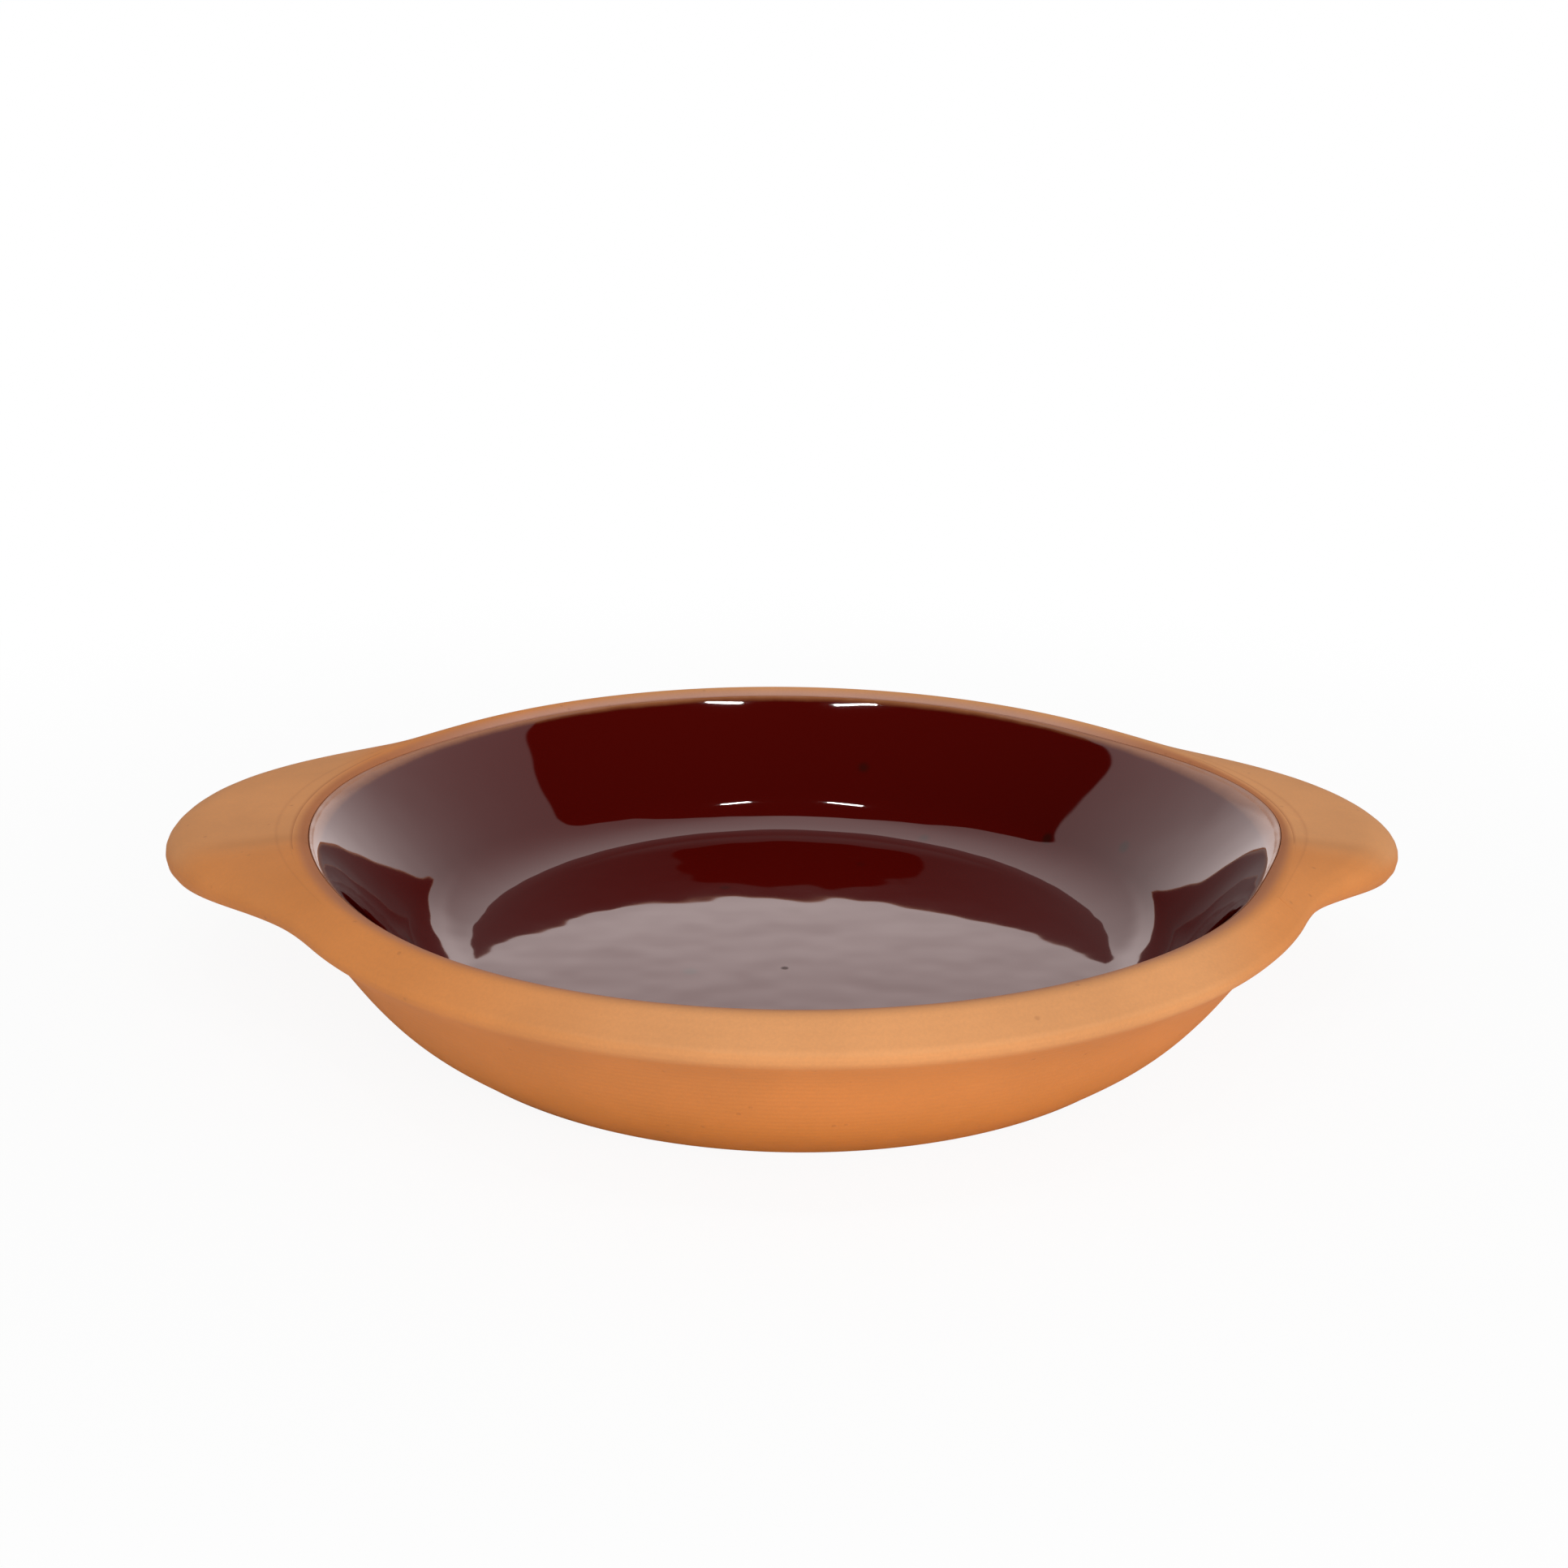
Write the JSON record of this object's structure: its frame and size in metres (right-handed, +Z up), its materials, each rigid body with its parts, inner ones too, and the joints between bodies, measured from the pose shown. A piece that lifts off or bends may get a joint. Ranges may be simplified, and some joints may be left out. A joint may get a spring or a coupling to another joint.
{
  "type": "baking dish",
  "caption": "Shallow round terracotta baking dish with a glossy dark red-brown glazed inside, a rolled collar under the lip and a flat lug handle on each side.",
  "frame": {"origin": "centre of the flat base, on the surface that the dish stands on", "axes": "+Z up along the axis the bowl was turned on; +X towards the right-hand lug, +Y away from the picture's viewer"},
  "size_m": [0.313, 0.2558, 0.0429],
  "materials": {
    "terracotta": "matte fired red clay",
    "glaze": "glossy oxblood lead-look glaze",
    "slip": "matte fired slip"
  },
  "bodies": {
    "root": {"dish_body": "terracotta", "glaze_lining": "glaze", "ear_left": "terracotta", "ear_right": "terracotta", "slip_seam_left": "slip", "slip_seam_right": "slip"}
  },
  "joints": []
}
